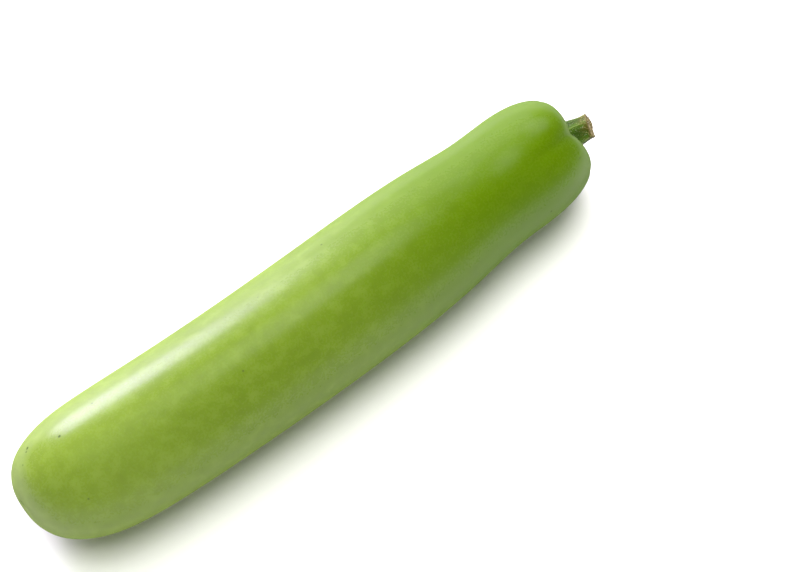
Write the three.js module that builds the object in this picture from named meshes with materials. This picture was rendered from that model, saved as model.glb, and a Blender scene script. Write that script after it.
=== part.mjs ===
// A long bottle gourd, as picked, lying on its side with its cut stem on.
// Millimetres, +Z up. The blossom end is at low X and the stem end at high X.
import * as THREE from 'three';
import { NURBSCurve } from 'three/addons/curves/NURBSCurve.js';

// Fruit: distance from the blossom end and radius, as the control points of one smooth half-outline
const outline = [
  [0.7, 0], [0.7, 2], [0, 5.5], // the small scar of the blossom, sunk in the round end
  [1, 12.3], [7.5, 24.2], [25.6, 32.9], [48, 35.8], // round blossom end
  [92, 36], [138, 36.4], [184, 36.9], [228, 36.7], [262, 34.8], // long belly
  [290, 31], [314, 32.4], [334, 31.3], // slight waist, then the bulge at the stem end
  [348.2, 25.4], [349.9, 19.8], [349.4, 15.1], // blunt shoulder and its crest
  [346, 10.5], [341, 9.3], [338.6, 9], [338.6, 6], [338.6, 0], // the hollow that the stem stands in
];
const fruitLength = 349.5;
const axisHeight = 35.4; // the belly is a little wider, so it rests on a flat strip
const bowDepth = 6.2; // sideways bend of the whole fruit
const bowSkew = -4.5; // moves the bend towards the stem end
const bowMean = 0.33;
const swellTwo = 0.25; // slow unevenness of the section, two-sided and three-sided
const swellThree = 0.2;
const swellTwoTurn = 70; // distance along the fruit in which each turns by one radian
const swellThreeTurn = 45;
const swellRadii = [15, 30]; // it fades out towards both ends' middles
const endTiltY = 0.059; // the stem end isn't quite square to the fruit
const endTiltZ = -0.206;
const endTiltStart = 250;

// Creases between the lobes at the stem end: direction in degrees from the top, and share of the depth
const creases = [[334, 0.94], [51, 0.56], [126, 0.77], [198, 0.93], [260, 0.61]];
const creaseDepth = 4;
const creaseStart = 285; // they fade out along the body
const creaseWidth = 0.336;
const creaseRound = 0.06;
const crownLevel = 0.242; // the lobes' crowns keep the outline's radius
const creaseInnerRadius = 8.5; // they run down into the hollow as far as this
const creaseFullRadius = 12;

// Stem: a five-ridged stalk that leans off the fruit's axis
const hollowFloor = 338.6;
const stemGap = 0.3;
const stemLength = 22;
const stemLeanY = -0.205;
const stemLeanZ = 0.13;
const stalkTurn = 7; // distance in which its section turns from the hollow's floor to its own lean
const cutTurn = 5; // and at the end to the lean of the cut
const stemRadii = [[0, 7.2], [3, 7.7], [8, 8.1], [12, 7.8], [17, 6.95], [20, 6.5], [22, 6.6]];
const ridgeCount = 5;
const ridgeHeight = 0.14; // share of the radius
const cutLeanY = -0.5; // the cut isn't square to the stalk
const cutLeanZ = 0.465;
const cutTear = 0.35; // height of the torn edge, in three broad waves and eight small teeth
const cutTeeth = 0.8;
const cutDip = 0.7; // the pith is sunk a little
const cutRimShare = 0.8;

// Fineness
const fruitRings = 50;
const fruitSides = 72;
const stemRings = 12;
const stemSides = 40;

const smooth = THREE.MathUtils.smoothstep;
const mix = THREE.MathUtils.lerp;

// A closed surface from rings of points, with one point at each end
function ringSurface(firstPoint, rings, lastPoint) {
  const sides = rings[0].length;
  const points = [firstPoint, ...rings.flat(), lastPoint];
  const last = points.length - 1;
  const at = (ring, side) => 1 + ring * sides + (side % sides);
  const faces = [];
  for (let side = 0; side < sides; side++) {
    faces.push(0, at(0, side), at(0, side + 1));
    for (let ring = 0; ring < rings.length - 1; ring++) {
      const here = [at(ring, side), at(ring, side + 1)];
      const next = [at(ring + 1, side), at(ring + 1, side + 1)];
      faces.push(here[0], next[0], next[1]);
      faces.push(here[0], next[1], here[1]);
    }
    faces.push(at(rings.length - 1, side + 1), at(rings.length - 1, side), last);
  }
  const geometry = new THREE.BufferGeometry();
  const positions = points.flatMap((p) => [p.x, p.y, p.z]);
  geometry.setAttribute('position', new THREE.Float32BufferAttribute(positions, 3));
  geometry.setIndex(faces);
  geometry.computeVertexNormals();
  return geometry;
}

// The half-outline as a clamped cubic spline
function outlineCurve() {
  const degree = 3;
  const spans = outline.length - degree;
  const inner = Array.from({ length: spans + 1 }, (_, i) => i / spans);
  const knots = [0, 0, 0, ...inner, 1, 1, 1];
  const controls = outline.map(([x, r]) => new THREE.Vector4(x, r, 0, 1));
  return new NURBSCurve(degree, knots, controls);
}

// Sideways place of the fruit's axis
function axisOffset(x) {
  const q = x / (fruitLength / 2) - 1;
  return bowDepth * (q * q - bowMean) + bowSkew * (q * q * q - q);
}

// How deep the creases cut at a direction round the axis, with the lobes' crowns at zero
function creaseCut(angle) {
  let cut = -crownLevel;
  for (const [direction, share] of creases) {
    const chord = 2 * Math.sin((angle - THREE.MathUtils.degToRad(direction)) / 2);
    const away = Math.hypot(chord, creaseRound) - creaseRound;
    cut += share * Math.exp(-away / creaseWidth);
  }
  return cut;
}

// A point of the skin: t runs from the blossom end to the hollow's floor, the angle goes round from the top
function skinPoint(curve, t, angle) {
  const point = curve.getPoint(t);
  const tangent = curve.getTangent(t);
  const fade = smooth(point.x, creaseStart, fruitLength) ** 2;
  const strength = fade * smooth(point.y, creaseInnerRadius, creaseFullRadius);
  const inward = creaseDepth * strength * creaseCut(angle);
  const belly = Math.sin(Math.PI * Math.min(point.x / fruitLength, 1)) * smooth(point.y, ...swellRadii);
  const swell = belly * (swellTwo * Math.sin(2 * angle + point.x / swellTwoTurn)
    + swellThree * Math.sin(3 * angle - point.x / swellThreeTurn));
  const radius = point.y - tangent.x * inward + swell;
  const side = radius * Math.sin(angle);
  const up = radius * Math.cos(angle);
  const tilt = (endTiltY * side + endTiltZ * up) * smooth(point.x, endTiltStart, fruitLength);
  const x = point.x + tangent.y * inward + tilt;
  return new THREE.Vector3(x, axisOffset(x) + side, Math.max(axisHeight + up, 0));
}

function fruitGeometry() {
  const curve = outlineCurve();
  const rings = [];
  for (let i = 1; i < fruitRings; i++) {
    const ring = [];
    for (let j = 0; j < fruitSides; j++) {
      ring.push(skinPoint(curve, i / fruitRings, (2 * Math.PI * j) / fruitSides));
    }
    rings.push(ring);
  }
  return ringSurface(skinPoint(curve, 0, 0), rings, skinPoint(curve, 1, 0));
}

// Radius of the stalk at a distance along it, by straight steps between the given places
function stemRadius(along) {
  const after = stemRadii.findIndex(([place]) => place >= along);
  if (after < 1) return stemRadii[0][1];
  const [[fromPlace, fromRadius], [toPlace, toRadius]] = stemRadii.slice(after - 1, after + 1);
  return fromRadius + ((toRadius - fromRadius) * (along - fromPlace)) / (toPlace - fromPlace);
}

// A ring of the stalk: the planes turn from the hollow's floor to the stalk's own lean, then to the cut's
function stemRing(along, share) {
  const toStalk = smooth(along, 0, stalkTurn);
  const toCut = smooth(along, stemLength - cutTurn, stemLength);
  const leanY = mix(mix(-endTiltY, stemLeanY, toStalk), cutLeanY, toCut);
  const leanZ = mix(mix(-endTiltZ, stemLeanZ, toStalk), cutLeanZ, toCut);
  const ring = [];
  for (let j = 0; j < stemSides; j++) {
    const angle = (2 * Math.PI * j) / stemSides;
    const ridge = ridgeHeight * (0.5 - Math.abs(Math.sin((ridgeCount * angle) / 2)));
    const tear = cutTear * (Math.sin(3 * angle + 1) + cutTeeth * Math.sin(8 * angle)) * toCut;
    const radius = stemRadius(along) * share * (1 + ridge * share);
    const y = radius * Math.sin(angle);
    const z = radius * Math.cos(angle);
    const x = along - leanY * y - leanZ * z + tear * share;
    ring.push(new THREE.Vector3(x, stemLeanY * along + y, stemLeanZ * along + z));
  }
  return ring;
}

function stemGeometry() {
  const rings = [];
  for (let i = 0; i <= stemRings; i++) {
    rings.push(stemRing((stemLength * i) / stemRings, 1));
  }
  const rim = stemRing(stemLength, cutRimShare);
  const pith = new THREE.Vector3(stemLength - cutDip, stemLeanY * stemLength, stemLeanZ * stemLength);
  return ringSurface(new THREE.Vector3(0, 0, 0), [...rings, rim], pith);
}

const skinMaterial = new THREE.MeshStandardMaterial({ color: '#82a43a', roughness: 0.28, metalness: 0 });
const stalkMaterial = new THREE.MeshStandardMaterial({ color: '#56702b', roughness: 0.75, metalness: 0 });

const fruit = new THREE.Mesh(fruitGeometry(), skinMaterial);
fruit.name = 'fruit';

const stem = new THREE.Mesh(stemGeometry(), stalkMaterial);
stem.name = 'stem';
stem.position.set(hollowFloor + stemGap, axisOffset(hollowFloor), axisHeight);

const gourd = new THREE.Group();
gourd.add(fruit, stem);

// The origin is under the middle of the whole gourd, on the surface that it lies on
const extent = new THREE.Box3().setFromObject(gourd, true);
const middle = extent.getCenter(new THREE.Vector3());
gourd.position.set(-middle.x, -middle.y, -extent.min.z);

export default gourd;
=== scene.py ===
# A long bottle gourd lying on a pale floor, with its cut stem
import math
import bpy
from mathutils import Matrix, Vector


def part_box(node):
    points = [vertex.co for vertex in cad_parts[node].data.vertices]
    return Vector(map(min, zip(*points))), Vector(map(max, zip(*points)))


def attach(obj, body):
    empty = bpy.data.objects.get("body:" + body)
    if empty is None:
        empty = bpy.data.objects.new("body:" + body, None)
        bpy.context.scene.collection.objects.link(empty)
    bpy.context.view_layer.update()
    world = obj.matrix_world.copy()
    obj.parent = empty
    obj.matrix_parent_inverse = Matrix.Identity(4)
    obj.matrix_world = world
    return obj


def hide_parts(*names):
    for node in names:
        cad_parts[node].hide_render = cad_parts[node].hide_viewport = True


mm = 0.001
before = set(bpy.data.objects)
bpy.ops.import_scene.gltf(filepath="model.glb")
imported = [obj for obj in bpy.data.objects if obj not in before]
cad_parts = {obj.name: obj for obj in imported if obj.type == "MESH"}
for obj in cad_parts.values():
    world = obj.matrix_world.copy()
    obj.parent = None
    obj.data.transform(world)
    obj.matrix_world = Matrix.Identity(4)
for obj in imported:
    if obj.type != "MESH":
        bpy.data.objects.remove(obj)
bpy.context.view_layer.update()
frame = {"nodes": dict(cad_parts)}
print("frame loaded:", ", ".join(frame["nodes"]))


def newObject(name, data):
    made = bpy.data.objects.new(name, data)
    bpy.context.scene.collection.objects.link(made)
    return made


# Camera: looks down on the gourd from its left front
camera = {
    "turn": 38.69,  # degrees to the left of straight ahead
    "elevation": 60.0,
    "distance": 1.2,
    "aim": (39.8 * mm, -9.1 * mm, 30 * mm),
    "lens": 104.45,
    "sensor": 36,
}

turn = math.radians(camera["turn"])
elevation = math.radians(camera["elevation"])
viewBack = Vector((
    -math.sin(turn) * math.cos(elevation),
    -math.cos(turn) * math.cos(elevation),
    math.sin(elevation),
))
cameraObject = newObject("camera", bpy.data.cameras.new("camera"))
cameraObject.data.lens = camera["lens"]
cameraObject.data.sensor_width = camera["sensor"]
cameraObject.location = Vector(camera["aim"]) + viewBack * camera["distance"]
cameraObject.rotation_mode = "QUATERNION"
cameraObject.rotation_quaternion = (-viewBack).to_track_quat("-Z", "Y")
bpy.context.scene.camera = cameraObject
print("camera placed")


# One output of a node. Sums written on it become Math nodes of its tree.
class Link:
    def __init__(self, graph, socket):
        self.graph = graph
        self.socket = socket

    def math(self, operation, *values):
        return self.graph.node("ShaderNodeMath", dict(enumerate(values)), {"operation": operation})

    def __add__(self, other):
        return self.math("ADD", self, other)

    def __radd__(self, other):
        return self.math("ADD", other, self)

    def __sub__(self, other):
        return self.math("SUBTRACT", self, other)

    def __rsub__(self, other):
        return self.math("SUBTRACT", other, self)

    def __mul__(self, other):
        return self.math("MULTIPLY", self, other)

    def __rmul__(self, other):
        return self.math("MULTIPLY", other, self)

    def __truediv__(self, other):
        return self.math("DIVIDE", self, other)

    def __pow__(self, other):
        return self.math("POWER", self, other)

    def __neg__(self):
        return self.math("MULTIPLY", self, -1)

    def sin(self):
        return self.math("SINE", self)

    def cos(self):
        return self.math("COSINE", self)

    def exp(self):
        return self.math("EXPONENT", self)

    def root(self):
        return self.math("SQRT", self)

    def size(self):
        return self.math("ABSOLUTE", self)

    def atMost(self, other):
        return self.math("MINIMUM", self, other)

    def atLeast(self, other):
        return self.math("MAXIMUM", self, other)

    def smooth(self, low, high, start=0.0, end=1.0):  # eases from start to end between low and high
        values = {"Value": self, "From Min": low, "From Max": high, "To Min": start, "To Max": end}
        settings = {"interpolation_type": "SMOOTHSTEP", "clamp": True}
        return self.graph.node("ShaderNodeMapRange", values, settings)

    def other(self, name):  # another output of the same node
        return Link(self.graph, self.socket.node.outputs[name])

    def part(self, name):  # X, Y or Z of a vector
        return self.graph.node("ShaderNodeSeparateXYZ", {0: self}).other(name)


# A node tree that is written as expressions
class Graph:
    def __init__(self, tree):
        self.tree = tree

    def node(self, kind, values=None, settings=None, output=0):
        made = self.tree.nodes.new(kind)
        for name, setting in (settings or {}).items():
            setattr(made, name, setting)
        for name, value in (values or {}).items():
            if isinstance(value, Link):
                self.tree.links.new(value.socket, made.inputs[name])
            else:
                made.inputs[name].default_value = value
        return Link(self, made.outputs[output]) if len(made.outputs) else None

    def vector(self, operation, *values):
        return self.node("ShaderNodeVectorMath", dict(enumerate(values)), {"operation": operation})

    def point(self, x, y, z):
        return self.node("ShaderNodeCombineXYZ", {"X": x, "Y": y, "Z": z})

    def mixColour(self, share, first, second):
        return self.node("ShaderNodeMix", {0: share, 6: first, 7: second}, {"data_type": "RGBA"}, 2)

    def noise(self, place, size, stretch, detail, offset):  # the size is that of one patch, in metres
        scale = tuple(1 / (size * one) for one in stretch)
        mapped = self.vector("MULTIPLY_ADD", place, scale, (offset,) * 3)
        return self.node("ShaderNodeTexNoise", {"Vector": mapped, "Scale": 1.0, "Detail": detail})


# A geometry tree with named inputs, which makes one mesh
class Maker(Graph):
    def __init__(self, name):
        super().__init__(bpy.data.node_groups.new(name, "GeometryNodeTree"))
        self.source = self.tree.nodes.new("NodeGroupInput")
        self.values = {}

    def take(self, name, kind, value):
        made = self.tree.interface.new_socket(name=name, in_out="INPUT", socket_type="NodeSocket" + kind)
        self.values[made.identifier] = value
        return Link(self, self.source.outputs[name])

    def surfaceOf(self, name, carrier):
        taken = self.take(name, "Object", carrier)
        return self.node("GeometryNodeObjectInfo", {"Object": taken}).other("Geometry")

    def grid(self, rings, sides):  # a sheet of points, and the share of each point along and around it
        sheet = self.node("GeometryNodeMeshGrid", {
            "Size X": 1.0, "Size Y": 1.0,
            "Vertices X": self.take("Rings", "Int", rings + 1),
            "Vertices Y": self.take("Sides", "Int", sides + 1)})
        place = self.node("GeometryNodeInputPosition")
        return sheet, place.part("X") + 0.5, place.part("Y") + 0.5

    def follow(self, outline, share):  # place along, radius and direction at a share of a half-outline
        values = {"Curves": self.surfaceOf("Outline", outline), "Factor": share}
        settings = {"mode": "FACTOR", "use_all_curves": False}
        sample = self.node("GeometryNodeSampleCurve", values, settings)
        place = sample.other("Position")
        return place.part("X"), place.part("Z"), sample.other("Tangent")

    def wrap(self, sheet, marks, places, seam):  # stores the marks on the sheet's points, then moves these
        for name, value in marks.items():
            values = {"Geometry": sheet, "Name": name, "Value": value}
            settings = {"data_type": "FLOAT", "domain": "POINT"}
            sheet = self.node("GeometryNodeStoreNamedAttribute", values, settings)
        moved = self.node("GeometryNodeSetPosition", {"Geometry": sheet, "Position": places})
        return self.node("GeometryNodeMergeByDistance", {"Geometry": moved, "Distance": seam})

    def make(self, name, geometry, material):  # runs the tree once and keeps its result as a plain mesh
        finish = self.take("Material", "Material", material)
        real = self.node("GeometryNodeRealizeInstances", {"Geometry": geometry})
        finished = self.node("GeometryNodeSetMaterial", {"Geometry": real, "Material": finish})
        self.tree.interface.new_socket(name="Geometry", in_out="OUTPUT", socket_type="NodeSocketGeometry")
        self.node("NodeGroupOutput", {"Geometry": finished})

        carrier = newObject(name + "Maker", bpy.data.meshes.new(name + "Maker"))
        modifier = carrier.modifiers.new("maker", "NODES")
        modifier.node_group = self.tree
        for identifier, value in self.values.items():
            modifier[identifier] = value
        shown = carrier.evaluated_get(bpy.context.evaluated_depsgraph_get())
        mesh = bpy.data.meshes.new_from_object(shown)
        mesh.name = name
        carrier.modifiers.remove(modifier)
        bpy.data.objects.remove(carrier)
        mesh.materials.pop(index=0)  # the sheet's own empty slot
        for face in mesh.polygons:
            face.material_index = 0
            face.use_smooth = True
        return newObject(name, mesh)


# A half-outline as a curve object, from places along and radii in mm
def profileCurve(name, points, order):
    curve = bpy.data.curves.new(name, "CURVE")
    curve.dimensions = "3D"
    spline = curve.splines.new("NURBS")
    spline.points.add(len(points) - 1)
    for made, (along, radius) in zip(spline.points, points):
        made.co = (along * mm, 0, radius * mm, 1)
    spline.order_u = order
    spline.use_endpoint_u = True
    spline.resolution_u = 24
    return newObject(name, curve)


# Fruit: the whole gourd's body, from the blossom scar to the hollow that the stem stands in
fruit = {
    "outline": (  # places along and radii, in mm
        (0.7, 0), (0.7, 2), (0, 5.5),
        (1, 12.3), (7.5, 24.2), (25.6, 32.9), (48, 35.8),
        (92, 36), (138, 36.4), (184, 36.9), (228, 36.7), (262, 34.8),
        (290, 31), (314, 32.4), (334, 31.3),
        (348.2, 25.4), (349.9, 19.8), (349.4, 15.1),
        (346, 10.5), (341, 9.3), (338.6, 9), (338.6, 6), (338.6, 0),
    ),
    "outlineOrder": 4,
    "length": 349.5 * mm,
    "axisHeight": 35.4 * mm,
    "bowDepth": 6.2 * mm,  # sideways bend of the whole fruit, which the skew moves to the stem end
    "bowSkew": -4.5 * mm,
    "bowMean": 0.33,
    "swells": (0.25 * mm, 0.2 * mm),  # two-sided and three-sided unevenness of the section
    "swellTurns": (70 * mm, 45 * mm),  # distance along the fruit in which each turns by a radian
    "swellRadii": (15 * mm, 30 * mm),  # they fade out towards the middles of both ends
    "endTilt": (0.059, -0.206),  # the stem end isn't quite square to the fruit
    "endTiltStart": 250 * mm,
    "creases": (  # direction in degrees from the top, and share of the depth
        (334, 0.94), (51, 0.56), (126, 0.77), (198, 0.93), (260, 0.61),
    ),
    "creaseDepth": 4 * mm,
    "creaseStart": 285 * mm,
    "creaseWidth": 0.336,
    "creaseRound": 0.06,
    "creaseRadii": (8.5 * mm, 12 * mm),
    "crownLevel": 0.242,  # the lobes' crowns keep the outline's radius
    "hollowPlaces": (330 * mm, 336 * mm),  # where its hairs begin, along the fruit and towards its axis
    "hollowRadii": (17 * mm, 10 * mm),
    "seam": 0.01 * mm,
    "rings": 370,
    "sides": 256,
}


def axisOffset(x):  # sideways place of the fruit's axis, for a number or a link
    q = x / (fruit["length"] / 2) - 1
    return fruit["bowDepth"] * (q * q - fruit["bowMean"]) + fruit["bowSkew"] * (q * q * q - q)


def creaseCut(angle):  # how deep the creases cut at an angle, with the lobes' crowns at zero
    cut = -fruit["crownLevel"]
    for direction, share in fruit["creases"]:
        apart = 2 - 2 * (angle - math.radians(direction)).cos()
        away = (apart + fruit["creaseRound"] ** 2).root() - fruit["creaseRound"]
        cut = cut + share * (-away / fruit["creaseWidth"]).exp()
    return cut


def makeFruit(material):
    outline = profileCurve("fruitOutline", fruit["outline"], fruit["outlineOrder"])
    maker = Maker("gourd fruit")
    length = maker.take("Length", "Float", fruit["length"])
    height = maker.take("Axis height", "Float", fruit["axisHeight"])
    depth = maker.take("Crease depth", "Float", fruit["creaseDepth"])
    sheet, share, around = maker.grid(fruit["rings"], fruit["sides"])
    x, radius, tangent = maker.follow(outline, share)
    angle = around * math.tau

    cut = creaseCut(angle)
    fade = x.smooth(fruit["creaseStart"], length) ** 2
    strength = fade * radius.smooth(*fruit["creaseRadii"])
    inward = depth * strength * cut

    body = (math.pi * (x / length).atMost(1)).sin() * radius.smooth(*fruit["swellRadii"])
    swell = body * (fruit["swells"][0] * (2 * angle + x / fruit["swellTurns"][0]).sin()
                    + fruit["swells"][1] * (3 * angle - x / fruit["swellTurns"][1]).sin())
    skinRadius = radius - tangent.part("X") * inward + swell
    side = skinRadius * angle.sin()
    up = skinRadius * angle.cos()
    tilt = (fruit["endTilt"][0] * side + fruit["endTilt"][1] * up) * x.smooth(fruit["endTiltStart"], length)
    skinX = x + tangent.part("Z") * inward + tilt
    skin = maker.point(skinX, axisOffset(skinX) + side, (height + up).atLeast(0))

    marks = {
        # the creases' depth, which the skin also uses to paint shade into them
        "crease": strength * cut.atLeast(0),
        "hollow": x.smooth(*fruit["hollowPlaces"]) * radius.smooth(*fruit["hollowRadii"]),
        "fromBlossom": x / length,
    }
    made = maker.make("fruitSkin", maker.wrap(sheet, marks, skin, fruit["seam"]), material)
    bpy.data.objects.remove(outline)
    return made


# Stem: the ridged stalk, with its torn cut face
stem = {
    "outline": (  # places along and radii, in mm
        (0, 0), (0, 5.5), (0, 7.2), (3, 7.7), (8, 8.1), (12, 7.8), (17, 6.95), (20, 6.5),
        (21.7, 6.65), (22.3, 6.5), (22.1, 5.6), (21.5, 4.3), (21.3, 2), (21.3, 0),
    ),
    "outlineOrder": 3,
    "length": 22 * mm,
    "floor": 338.6 * mm,  # where the hollow's floor is, along the fruit
    "gap": 0.3 * mm,
    "lean": (-0.205, 0.13),
    "cutLean": (-0.5, 0.465),
    "stalkTurn": 7 * mm,  # distances in which its section turns to its own lean, then to the cut's
    "cutTurn": 5 * mm,
    "innerRadius": 6 * mm,  # ridges and tears fade out from here to the pith
    "ridgeCount": 5,
    "ridgeHeight": 0.14,
    "fibres": 41,
    "fibreTwist": 0.6 / mm,
    "fibreHeight": 0.012,
    "tear": 0.35 * mm,
    "tornSize": 0.9 * mm,  # fine tearing, and its height as a share of the broad waves
    "tornShare": 4.5,
    "cutShare": (0.79, 0.81),  # where along the outline the cut face begins
    "hairsStart": (0.5 * mm, 1 * mm),
    "hairsFade": (17 * mm, 4 * mm, 0.03, 1),  # sparse at the first place, dense at the second
    "seam": 0.003 * mm,
    "rings": 190,
    "sides": 180,
}


def makeStem(material):
    outline = profileCurve("stemOutline", stem["outline"], stem["outlineOrder"])
    maker = Maker("gourd stem")
    length = maker.take("Length", "Float", stem["length"])
    height = maker.take("Ridge height", "Float", stem["ridgeHeight"])
    tearHeight = maker.take("Tear", "Float", stem["tear"])
    sheet, share, around = maker.grid(stem["rings"], stem["sides"])
    along, radius = maker.follow(outline, share)[:2]
    angle = around * math.tau

    toStalk = along.smooth(0, stem["stalkTurn"])
    toCut = along.smooth(length - stem["cutTurn"], length)
    lean = []
    for endTilt, middle, end in zip(fruit["endTilt"], stem["lean"], stem["cutLean"]):
        own = -endTilt + toStalk * (middle + endTilt)
        lean.append(own + toCut * (end - own))

    outer = radius.smooth(0, stem["innerRadius"])
    fold = (angle * (stem["ridgeCount"] / 2)).sin().size()
    fibre = (angle * stem["fibres"] + along * stem["fibreTwist"]).sin() * stem["fibreHeight"]
    stalkRadius = radius * (1 + height * (0.5 - fold) * outer + fibre)
    side = stalkRadius * angle.sin()
    up = stalkRadius * angle.cos()
    wave = (3 * angle + 1).sin() * outer
    torn = maker.noise(maker.point(along * 0.2, side, up), stem["tornSize"], (1, 1, 1), 3.0, 0.0) - 0.5
    tear = tearHeight * toCut * (wave + stem["tornShare"] * torn)
    stalk = maker.point(
        along - lean[0] * side - lean[1] * up + tear + stem["floor"] + stem["gap"],
        stem["lean"][0] * along + side + axisOffset(stem["floor"]),
        stem["lean"][1] * along + up + fruit["axisHeight"])

    marks = {
        "ridge": 1 - fold,
        "cut": share.smooth(*stem["cutShare"]),
        "fromBase": along / length,
        "fromPith": radius / stem["innerRadius"],
        "hairy": along.smooth(*stem["hairsStart"]) * along.smooth(*stem["hairsFade"]),
    }
    made = maker.make("stemStalk", maker.wrap(sheet, marks, stalk, stem["seam"]), material)
    bpy.data.objects.remove(outline)
    return made


# Hairs: fine pale fuzz at the foot of the stem and in the hollow round it
hairs = {
    "perSquareMetre": 2.0e6,
    "length": 1.7 * mm,
    "radius": 0.05 * mm,
    "tipRadius": 0.002 * mm,
    "sides": 3,
    "spread": 0.9,  # how far a hair leans, in radians
    "scales": (0.4, 1.2),
    "seed": 7,
}


def makeHairs(name, ground, mask, material):
    maker = Maker("gourd hairs")
    surface = maker.surfaceOf("Ground", ground)
    density = maker.take("Hairs per square metre", "Float", hairs["perSquareMetre"])
    length = maker.take("Length", "Float", hairs["length"])
    radius = maker.take("Radius", "Float", hairs["radius"])
    seed = maker.take("Seed", "Int", hairs["seed"])

    place = maker.node("GeometryNodeInputNamedAttribute", {"Name": mask}, {"data_type": "FLOAT"})
    values = {"Mesh": surface, "Density": density * place, "Seed": seed}
    points = maker.node("GeometryNodeDistributePointsOnFaces", values, {"distribute_method": "RANDOM"})
    hair = maker.node("GeometryNodeMeshCone", {
        "Vertices": hairs["sides"], "Depth": length,
        "Radius Top": hairs["tipRadius"], "Radius Bottom": radius})
    values = {0: (-hairs["spread"],) * 3, 1: (hairs["spread"],) * 3, "Seed": seed}
    lean = maker.node("FunctionNodeRandomValue", values, {"data_type": "FLOAT_VECTOR"})
    values = {"Rotation": points.other("Rotation"), "Rotate By": lean}
    turned = maker.node("FunctionNodeRotateRotation", values, {"rotation_space": "LOCAL"})
    values = {2: hairs["scales"][0], 3: hairs["scales"][1], "Seed": seed}
    scale = maker.node("FunctionNodeRandomValue", values, {"data_type": "FLOAT"}, 1)
    copies = maker.node("GeometryNodeInstanceOnPoints", {
        "Points": points, "Instance": hair, "Rotation": turned, "Scale": scale})
    return maker.make(name, copies, material)


def tint(red, green, blue):  # a screen colour as the shader's own
    return tuple(((one / 255 + 0.055) / 1.055) ** 2.4 if one > 10 else one / 255 / 12.92
                 for one in (red, green, blue)) + (1.0,)


# A material's tree. Each of its patterns is a size, a stretch, a detail and an offset.
class Finish(Graph):
    def __init__(self, name, patterns=None):
        self.material = bpy.data.materials.new(name)
        self.material.use_nodes = True
        super().__init__(self.material.node_tree)
        self.tree.nodes.clear()
        self.place = self.node("ShaderNodeTexCoord").other("Object")
        self.patterns = patterns

    def mark(self, name):  # a value stored on the mesh
        return self.node("ShaderNodeAttribute", None, {"attribute_name": name}).other("Fac")

    def pattern(self, name):
        return self.noise(self.place, *self.patterns[name])

    def bump(self, height, distance, strength):
        return self.node("ShaderNodeBump", {"Strength": strength, "Distance": distance, "Height": height})

    def surface(self, values):
        shader = self.node("ShaderNodeBsdfPrincipled", values)
        self.node("ShaderNodeOutputMaterial", {"Surface": shader})
        return self.material


skinFinish = {
    "blossomGreen": tint(121, 145, 50),
    "bodyGreen": tint(109, 135, 32),
    "stemGreen": tint(88, 119, 0),
    "paleGreen": tint(138, 158, 80),
    # painted shade: a deeper green that darkens the creases between the lobes
    "creaseShadeGreen": tint(72, 100, 2),
    "speck": tint(52, 70, 16),
    "bodyFade": (0.0, 0.4),  # shares of the length between which each green turns into the next
    "stemFade": (0.4, 0.85),
    "paleClouds": (0.5, 0.75),
    "paleShare": 0.2,
    # how strongly the painted shade darkens the creases, and at most how far
    "creaseShadeStrength": 0.7,
    "creaseShadeMost": 0.6,
    "patterns": {
        "clouds": (6 * mm, (1.2, 1, 1), 3.0, 0.0),
        "drifts": (26 * mm, (1.6, 1, 1), 2.0, 3.0),
        "grain": (1.3 * mm, (0.6, 1.6, 1.6), 1.0, 12.0),
        "streaks": (2.6 * mm, (12, 1, 1), 2.0, 5.0),
        "fine": (1.3 * mm, (1, 1, 1), 1.0, 9.0),
    },
    "cloudDepth": 0.34,  # how much lighter and darker each pattern makes the skin
    "driftDepth": 0.14,
    "grainDepth": 0.16,
    "streakDepth": 0.12,
    "roughness": 0.27,
    "fineRoughness": 0.12,  # and how much each pattern adds
    "cloudRoughness": 0.08,
    "speckRoughness": 0.5,
    "rimRoughness": 0.5,  # wax dulls the skin towards the rims
    "rim": (0.3, 0.95),  # turned away this much, where that starts and where it's full
    "specular": 0.3,
    "bumpHeight": 0.012 * mm,
    "glow": 0.12,  # share of the light that goes through the skin, and how deep
    "glowColour": (0.5, 1.0, 0.1),
    "glowDepth": 4 * mm,
    "speckScale": 95.0,  # cells per metre, of which a few hold a speck
    "speckChosen": (0.8, 0.84),
    "speckRadii": (0.085, 0.03),
    "speckShare": 0.7,
    "speckMost": 0.85,
    "marks": (  # small dark spots: x, y, z and radius in mm, and how dark
        (-153.4, 11.3, 66.8, 1.0, 0.95),
        (-131, 16.1, 67.3, 0.8, 0.95),
        (-167.5, 20.4, 57.4, 1.0, 0.9),
        (-169, 19, 57.6, 0.8, 0.8),
        (-174.1, 14.8, 56.1, 0.9, 0.5),
        (-182.9, 6.8, 38.2, 3.0, 0.5),  # where the blossom was
        (-33.5, 12.3, 69.2, 0.5, 0.5),
        (41.3, -22, 63.8, 0.5, 0.4),
        (153.9, -17.2, 51.3, 1.1, 0.35),
    ),
}


def skinDarkness(skin, fine):  # how dark the scattered specks and the single marks make the skin
    values = {"Vector": skin.place, "Scale": skinFinish["speckScale"]}
    specks = skin.node("ShaderNodeTexVoronoi", values, {"feature": "F1"})
    chosen = skin.node("ShaderNodeSeparateColor", {0: specks.other("Color")})
    chosen = chosen.smooth(*skinFinish["speckChosen"])
    dark = specks.smooth(*skinFinish["speckRadii"]) * chosen * skinFinish["speckShare"]
    for x, y, z, size, share in skinFinish["marks"]:
        away = skin.vector("DISTANCE", skin.place, (x * mm, y * mm, z * mm)).other("Value")
        ragged = away + (fine - 0.5) * (1.6 * size * mm)
        dark = dark + ragged.smooth(size * mm, 0.4 * size * mm) * share
    return dark


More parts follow.
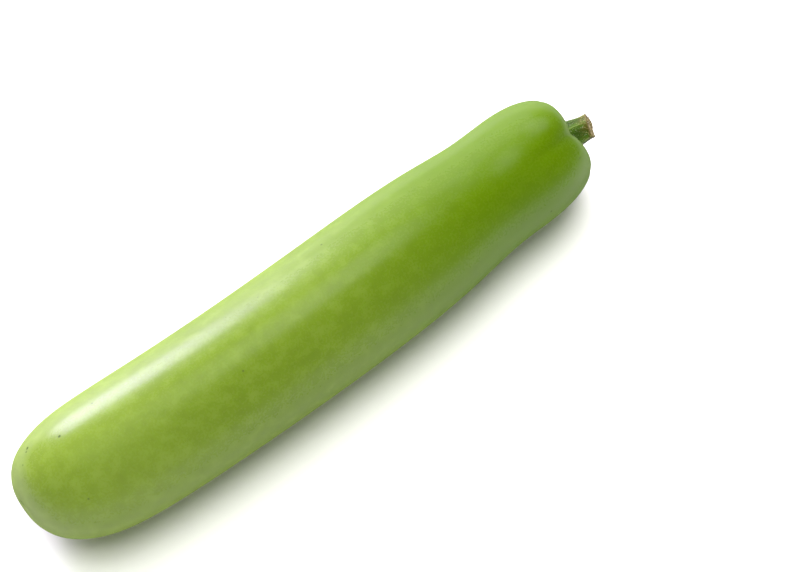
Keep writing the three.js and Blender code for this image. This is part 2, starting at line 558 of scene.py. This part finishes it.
def makeSkinMaterial():
    skin = Finish("gourdSkin", skinFinish["patterns"])
    along = skin.mark("fromBlossom")
    toBody = along.smooth(*skinFinish["bodyFade"])
    toStem = along.smooth(*skinFinish["stemFade"])
    base = skin.mixColour(toBody, skinFinish["blossomGreen"], skinFinish["bodyGreen"])
    base = skin.mixColour(toStem, base, skinFinish["stemGreen"])

    clouds = skin.pattern("clouds")
    fine = skin.pattern("fine")
    mottling = (clouds - 0.5) * skinFinish["cloudDepth"]
    mottling = mottling + (skin.pattern("grain") - 0.5) * skinFinish["grainDepth"]
    tone = 1 + (1 - toStem * 0.6) * mottling
    tone = tone + (skin.pattern("drifts") - 0.5) * skinFinish["driftDepth"]
    tone = tone + toStem * (skin.pattern("streaks") - 0.5) * skinFinish["streakDepth"]
    base = skin.vector("MULTIPLY", base, skin.point(tone, tone, tone))
    pale = clouds.smooth(*skinFinish["paleClouds"]) * (1 - toStem) * skinFinish["paleShare"]
    base = skin.mixColour(pale, base, skinFinish["paleGreen"])
    # painted shade: the creases are darkened towards a deeper green by their depth
    crease = (skin.mark("crease") * skinFinish["creaseShadeStrength"]).atMost(skinFinish["creaseShadeMost"])
    base = skin.mixColour(crease, base, skinFinish["creaseShadeGreen"])
    dark = skinDarkness(skin, fine)
    base = skin.mixColour(dark.atMost(skinFinish["speckMost"]), base, skinFinish["speck"])

    facing = skin.node("ShaderNodeLayerWeight", {"Blend": 0.5}).other("Facing")
    roughness = skinFinish["roughness"] + (fine - 0.5) * skinFinish["fineRoughness"]
    roughness = roughness + (clouds - 0.5) * skinFinish["cloudRoughness"]
    roughness = roughness + dark * skinFinish["speckRoughness"]
    roughness = roughness + facing.smooth(*skinFinish["rim"]) * skinFinish["rimRoughness"]
    return skin.surface({
        "Base Color": base,
        "Roughness": roughness,
        "Normal": skin.bump(fine, skinFinish["bumpHeight"], 0.6),
        "Subsurface Weight": skinFinish["glow"],
        "Subsurface Radius": skinFinish["glowColour"],
        "Subsurface Scale": skinFinish["glowDepth"],
        "Specular IOR Level": skinFinish["specular"],
    })


stalkFinish = {
    "groove": tint(46, 72, 0),
    "side": tint(66, 96, 12),
    "ridge": tint(122, 146, 70),
    "stain": tint(80, 74, 14),
    "strand": tint(170, 164, 106),
    "cut": tint(176, 160, 108),
    "cutDark": tint(80, 66, 20),
    "patterns": {
        "fibres": (0.5 * mm, (12, 1, 1), 3.0, 0.0),
        "patches": (2.2 * mm, (1.5, 1, 1), 3.0, 7.0),
        "strands": (2.6 * mm, (1, 1, 1), 2.0, 4.0),
        "grain": (0.7 * mm, (1, 1, 1), 4.0, 2.0),
    },
    "roughness": 0.62,
    "specular": 0.25,
    "bumpHeight": 0.2 * mm,
}


def makeStalkMaterial():
    stalk = Finish("gourdStalk", stalkFinish["patterns"])
    ridge = stalk.mark("ridge")
    cut = stalk.mark("cut")
    fromBase = stalk.mark("fromBase")
    fibres = stalk.pattern("fibres")
    patches = stalk.pattern("patches")
    grain = stalk.pattern("grain")

    base = stalk.mixColour(ridge.smooth(0.0, 0.6), stalkFinish["groove"], stalkFinish["side"])
    base = stalk.mixColour(ridge.smooth(0.85, 1.0) * 0.8, base, stalkFinish["ridge"])
    base = stalk.mixColour(fibres.smooth(0.55, 0.75) * 0.35, base, stalkFinish["ridge"])
    base = stalk.mixColour(fibres.smooth(0.45, 0.25) * 0.5, base, stalkFinish["groove"])
    stained = (patches.smooth(0.4, 0.6) * fromBase.smooth(0.5, 0.95)).atLeast(fromBase.smooth(0.88, 1.0))
    base = stalk.mixColour(stained * 0.8, base, stalkFinish["stain"])
    strands = (stalk.pattern("strands") - 0.5).size().smooth(0.028, 0.008)
    base = stalk.mixColour(strands * fromBase.smooth(0.6, 0.9) * 0.6, base, stalkFinish["strand"])

    face = stalk.mixColour(grain.smooth(0.42, 0.58), stalkFinish["cutDark"], stalkFinish["cut"])
    face = stalk.mixColour(stalk.mark("fromPith").smooth(0.85, 1.1) * 0.5, face, stalkFinish["cutDark"])
    face = stalk.mixColour(patches.smooth(0.42, 0.56) * 0.75, face, stalkFinish["stain"])
    return stalk.surface({
        "Base Color": stalk.mixColour(cut, base, face),
        "Roughness": stalkFinish["roughness"],
        "Normal": stalk.bump(fibres + cut * grain, stalkFinish["bumpHeight"], 0.7),
        "Specular IOR Level": stalkFinish["specular"],
    })


hairFinish = {
    "dull": tint(196, 204, 160),
    "pale": tint(236, 236, 214),
    "patterns": {"shades": (3 * mm, (1, 1, 1), 2.0, 0.0)},
    "roughness": 0.5,
}


def makeHairMaterial():
    hair = Finish("gourdHair", hairFinish["patterns"])
    colour = hair.mixColour(hair.pattern("shades"), hairFinish["dull"], hairFinish["pale"])
    return hair.surface({"Base Color": colour, "Roughness": hairFinish["roughness"]})


# Studio: a pale floor and low white surroundings, dark above, with softboxes, and fills that don't mirror
studio = {
    "floorSize": 24.0,
    "floorDrop": 0.2 * mm,  # the floor lies this far under the gourd
    "floor": {"Base Color": (0.93, 0.93, 0.89, 1), "Roughness": 0.8, "Specular IOR Level": 0.1},
    "surroundings": {"low": 0.38, "high": 0.03, "fadeFrom": 0.12, "fadeTo": 0.5},
    "softboxes": (
        # name, middle across X, distance, angle from the top towards +Y, width, height, radiance, colour
        ("key", -0.04, 1.0, 66.5, 0.46, 0.54, 15.2, (1.02, 0.89, 1.3)),
        ("glow", 0.4, 1.0, 54, 1.0, 0.85, 2.1, (1, 0.94, 1.06)),
        ("overhead", 0.36, 1.2, 7, 0.44, 0.66, 3.2, (1, 0.94, 1.06)),
        ("right", 1.0, 0.9, 25, 0.5, 0.6, 2.4, (1, 0.94, 1.06)),
    ),
    "fills": (
        # name, direction it comes from, softness in degrees, strength, colour
        ("fillTop", (0.0, 0.02, 1.0), 44, 2.9, (0.99, 1, 0.97)),
        ("fillFront", (0.15, -0.75, 0.6), 60, 0.5, (1, 1, 0.93)),
        ("fillBack", (-0.3, 0.85, 0.5), 40, 0.5, (1, 1, 0.9)),
    ),
}


def makeFloor():
    half = studio["floorSize"] / 2
    down = -studio["floorDrop"]
    corners = [(-half, -half, down), (half, -half, down), (half, half, down), (-half, half, down)]
    mesh = bpy.data.meshes.new("floor")
    mesh.from_pydata(corners, [], [(0, 1, 2, 3)])
    mesh.materials.append(Finish("paleFloor").surface(studio["floor"]))
    floor = newObject("floor", mesh)


def makeSurroundings():
    world = bpy.data.worlds.new("studio")
    world.use_nodes = True
    bpy.context.scene.world = world
    room = Graph(world.node_tree)
    room.tree.nodes.clear()
    around = studio["surroundings"]
    height = room.node("ShaderNodeTexCoord").other("Generated").part("Z")
    light = height.smooth(around["fadeFrom"], around["fadeTo"], around["low"], around["high"])
    sky = room.node("ShaderNodeBackground", {"Color": (1, 1, 1, 1), "Strength": light})
    room.node("ShaderNodeOutputWorld", {"Surface": sky})


def makeLamp(name, kind, direction, colour):  # its light goes against the direction
    lamp = newObject(name, bpy.data.lights.new(name, kind))
    lamp.data.color = colour
    back = Vector(direction).normalized()
    across = (Vector((1, 0, 0)) - back * back.x).normalized()
    lamp.rotation_mode = "QUATERNION"
    lamp.rotation_quaternion = Matrix((across, back.cross(across), back)).transposed().to_quaternion()
    return lamp


def makeLamps():
    for name, middle, distance, fromTop, width, height, radiance, colour in studio["softboxes"]:
        tilt = math.radians(fromTop)
        place = Vector((middle, distance * math.sin(tilt), distance * math.cos(tilt) + fruit["axisHeight"]))
        lamp = makeLamp(name, "AREA", place, colour)
        lamp.location = place
        lamp.visible_camera = False
        lamp.data.shape = "RECTANGLE"
        lamp.data.size = width
        lamp.data.size_y = height
        lamp.data.energy = radiance * math.pi * width * height
    for name, direction, softness, strength, colour in studio["fills"]:
        lamp = makeLamp(name, "SUN", direction, colour)
        lamp.visible_glossy = False
        lamp.data.angle = math.radians(softness)
        lamp.data.energy = strength


# The pieces are made along the gourd's own axis, then moved to where the frame has them
skin = makeFruit(makeSkinMaterial())
xs = [vertex.co.x for vertex in skin.data.vertices]
ys = [vertex.co.y for vertex in skin.data.vertices]
cadLow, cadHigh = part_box("fruit")
shift = Vector((cadLow.x - min(xs), (cadLow.y + cadHigh.y - min(ys) - max(ys)) / 2, 0))
skin.data.transform(Matrix.Translation(shift))
print("fruit made:", len(skin.data.polygons), "faces")

stalk = makeStem(makeStalkMaterial())
stalk.data.transform(Matrix.Translation(shift))
print("stem made:", len(stalk.data.polygons), "faces")

hairMaterial = makeHairMaterial()
stemHairs = makeHairs("stemHairs", stalk, "hairy", hairMaterial)
hollowHairs = makeHairs("hollowHairs", skin, "hollow", hairMaterial)
print("hairs made:", len(stemHairs.data.polygons) + len(hollowHairs.data.polygons), "faces")

for piece, slotName in ((skin, "skin"), (stalk, "stalk"), (stemHairs, "stalk"), (hollowHairs, "stalk")):
    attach(piece, "root")
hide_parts("fruit")
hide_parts("stem")

makeFloor()
makeSurroundings()
makeLamps()
bpy.context.scene.view_settings.view_transform = "Standard"
bpy.context.scene.view_settings.look = "None"
print("studio lit")
